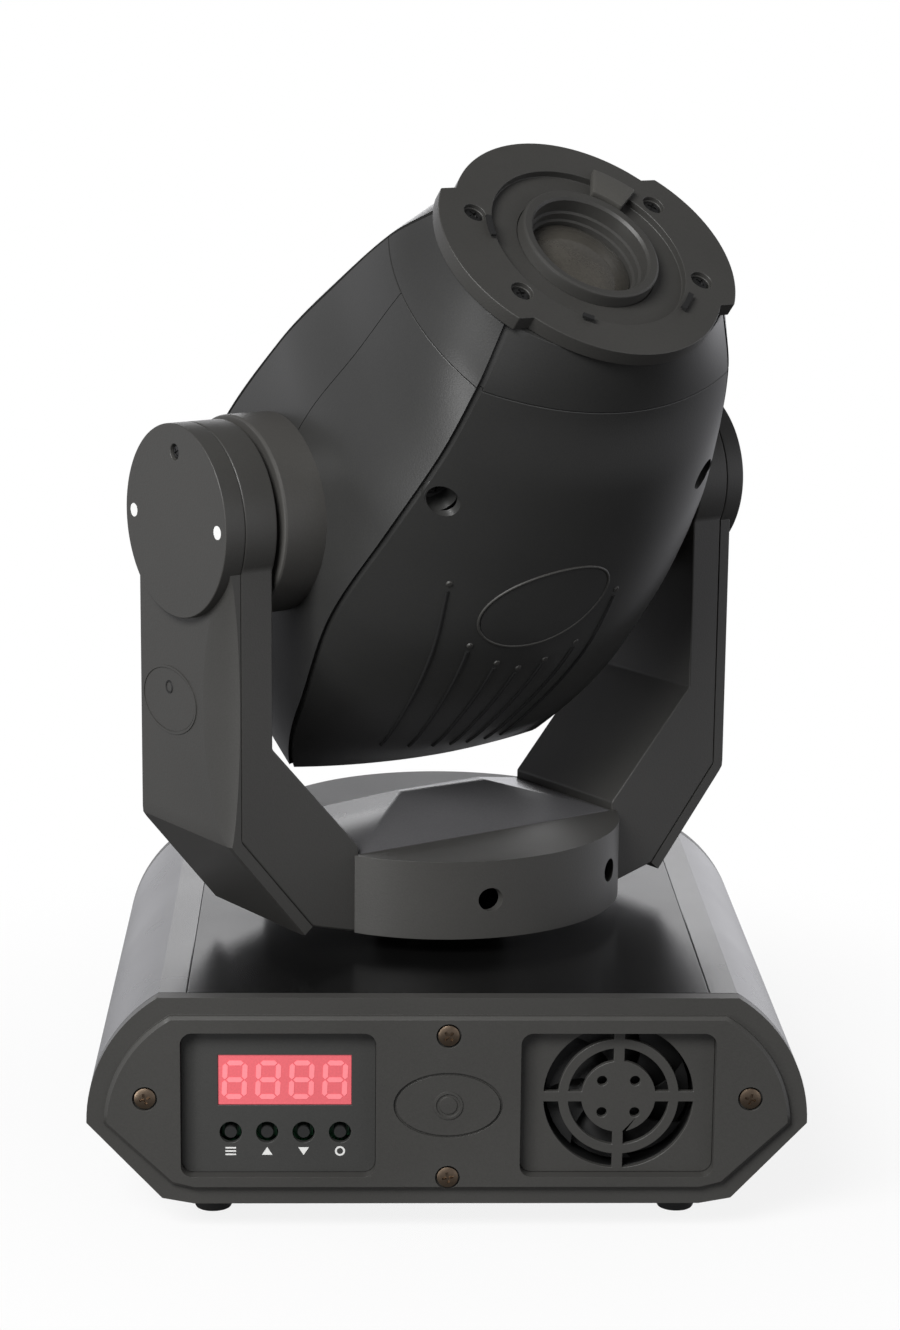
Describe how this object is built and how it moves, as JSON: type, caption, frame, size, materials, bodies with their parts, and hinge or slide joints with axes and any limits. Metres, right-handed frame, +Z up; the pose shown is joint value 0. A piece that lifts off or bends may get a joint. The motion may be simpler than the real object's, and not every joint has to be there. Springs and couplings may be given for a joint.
{
  "type": "moving head light",
  "caption": "Compact stage spotlight: a lens head tilts in a two-armed yoke, which pans on a squat base with a control panel.",
  "frame": {"origin": "floor under the pan axis, at the centre of the base's footprint", "axes": "+Z up along the pan axis, +X to the right seen from the control panel, +Y from the control panel to the rear sockets"},
  "size_m": [0.27, 0.254, 0.4016],
  "materials": {
    "casing_plastic": "fine-grained satin",
    "yoke_plastic": "fine-grained satin",
    "head_plastic": "satin",
    "lens_ring_plastic": "satin",
    "screw_brass": "satin",
    "screw_black": "black oxide",
    "display_red": "gloss, translucent red",
    "display_black": "gloss",
    "circuit_board": "green solder mask",
    "button_black": "satin",
    "fan_black": "satin",
    "foot_rubber": "matte",
    "socket_black": "satin",
    "supply_steel": "zinc plated",
    "bearing_steel": "ground",
    "pulley_aluminium": "turned",
    "motor_steel": "satin",
    "belt_rubber": "matte",
    "heatsink_aluminium": "bare",
    "lens_glass": "coated",
    "filter_glass": "dichroic",
    "gobo_steel": "etched"
  },
  "bodies": {
    "base": {"base_pan": "casing_plastic", "top_plate": "casing_plastic", "side_cover_left": "casing_plastic", "side_cover_right": "casing_plastic", "front_bezel": "casing_plastic", "rear_panel": "casing_plastic", "base_screws": "screw_brass", "control_plate": "casing_plastic", "display_window": "display_red", "display_module": "display_black", "control_board": "circuit_board", "fan_grille": "casing_plastic", "base_fan_frame": "fan_black", "rubber_feet": "foot_rubber", "power_inlet": "socket_black", "dmx_input_socket": "socket_black", "dmx_output_socket": "socket_black", "power_supply": "supply_steel", "pan_bearing": "bearing_steel", "pan_motor": "motor_steel", "pan_belt": "belt_rubber"},
    "base_fan": {"base_fan_rotor": "fan_black"},
    "menu_button": {"button_menu": "button_black"},
    "up_button": {"button_up": "button_black"},
    "down_button": {"button_down": "button_black"},
    "enter_button": {"button_enter": "button_black"},
    "pan_pinion": {"pan_pinion": "pulley_aluminium"},
    "yoke": {"yoke_drum": "yoke_plastic", "yoke_bridge_cover": "yoke_plastic", "arm_left_frame": "yoke_plastic", "arm_left_cover": "yoke_plastic", "arm_left_cap": "yoke_plastic", "arm_right_frame": "yoke_plastic", "arm_right_cover": "yoke_plastic", "arm_right_cap": "yoke_plastic", "arm_screws": "screw_black", "pan_spindle": "bearing_steel", "pan_pulley": "pulley_aluminium", "tilt_bearings": "bearing_steel", "tilt_motor": "motor_steel", "tilt_belt": "belt_rubber"},
    "tilt_pinion": {"tilt_pinion": "pulley_aluminium"},
    "head": {"head_shell_upper": "head_plastic", "head_shell_lower": "head_plastic", "nose_collar": "head_plastic", "front_plate": "head_plastic", "head_screws": "screw_black", "rear_cap": "head_plastic", "tilt_hub_left": "yoke_plastic", "tilt_hub_right": "yoke_plastic", "tilt_pulley": "pulley_aluminium", "head_chassis": "supply_steel", "led_engine": "heatsink_aluminium", "wheel_motors": "motor_steel", "head_fan_frame": "fan_black"},
    "head_fan": {"head_fan_rotor": "fan_black"},
    "focus": {"focus_ring": "lens_ring_plastic", "front_lens": "lens_glass"},
    "colour_wheel": {"colour_wheel": "filter_glass"},
    "gobo_wheel": {"gobo_wheel": "gobo_steel"}
  },
  "joints": [
    {"name": "pan", "type": "hinge", "parent": "base", "child": "yoke", "pos_m": [0, 0, 0], "axis": [0, 0, 1], "range_deg": [-303.5, 236.5]},
    {"name": "tilt", "type": "hinge", "parent": "yoke", "child": "head", "pos_m": [0, 0, 0.2623], "axis": [0.8339, 0.5519, 0], "range_deg": [-160, 78]},
    {"name": "pan_pinion_spin", "type": "hinge", "parent": "base", "child": "pan_pinion", "pos_m": [0, 0.056, 0.07], "axis": [0, 0, 1], "range_deg": [-1220, 950]},
    {"name": "tilt_pinion_spin", "type": "hinge", "parent": "yoke", "child": "tilt_pinion", "pos_m": [-0.09173, -0.06071, 0.153], "axis": [0.8339, 0.5519, 0], "range_deg": [-645, 316]},
    {"name": "base_fan_spin", "type": "hinge", "parent": "base", "child": "base_fan", "pos_m": [0.064, -0.11, 0.0535], "axis": [0, 1, 0], "continuous": true},
    {"name": "head_fan_spin", "type": "hinge", "parent": "head", "child": "head_fan", "pos_m": [-0.02721, 0.04111, 0.20578], "axis": [0.3628, -0.5482, 0.7536], "continuous": true},
    {"name": "colour_wheel_spin", "type": "hinge", "parent": "head", "child": "colour_wheel", "pos_m": [0.01796, -0.02714, 0.2631], "axis": [0.3628, -0.5482, 0.7536], "continuous": true},
    {"name": "gobo_wheel_spin", "type": "hinge", "parent": "head", "child": "gobo_wheel", "pos_m": [0.00018, -0.00027, 0.29918], "axis": [0.3628, -0.5482, 0.7536], "continuous": true},
    {"name": "focus_turn", "type": "hinge", "parent": "head", "child": "focus", "pos_m": [0.04354, -0.06578, 0.35273], "axis": [0.3628, -0.5482, 0.7536], "range_deg": [-60, 60]},
    {"name": "menu_press", "type": "slide", "parent": "base", "child": "menu_button", "axis": [0, 1, 0], "range_m": [0, 0.0006], "stiffness_N_per_m": 1500},
    {"name": "up_press", "type": "slide", "parent": "base", "child": "up_button", "axis": [0, 1, 0], "range_m": [0, 0.0006], "stiffness_N_per_m": 1500},
    {"name": "down_press", "type": "slide", "parent": "base", "child": "down_button", "axis": [0, 1, 0], "range_m": [0, 0.0006], "stiffness_N_per_m": 1500},
    {"name": "enter_press", "type": "slide", "parent": "base", "child": "enter_button", "axis": [0, 1, 0], "range_m": [0, 0.0006], "stiffness_N_per_m": 1500}
  ],
  "couplings": [
    {"joint": "pan_pinion_spin", "follows": "pan", "ratio": 4},
    {"joint": "tilt_pinion_spin", "follows": "tilt", "ratio": 4}
  ]
}
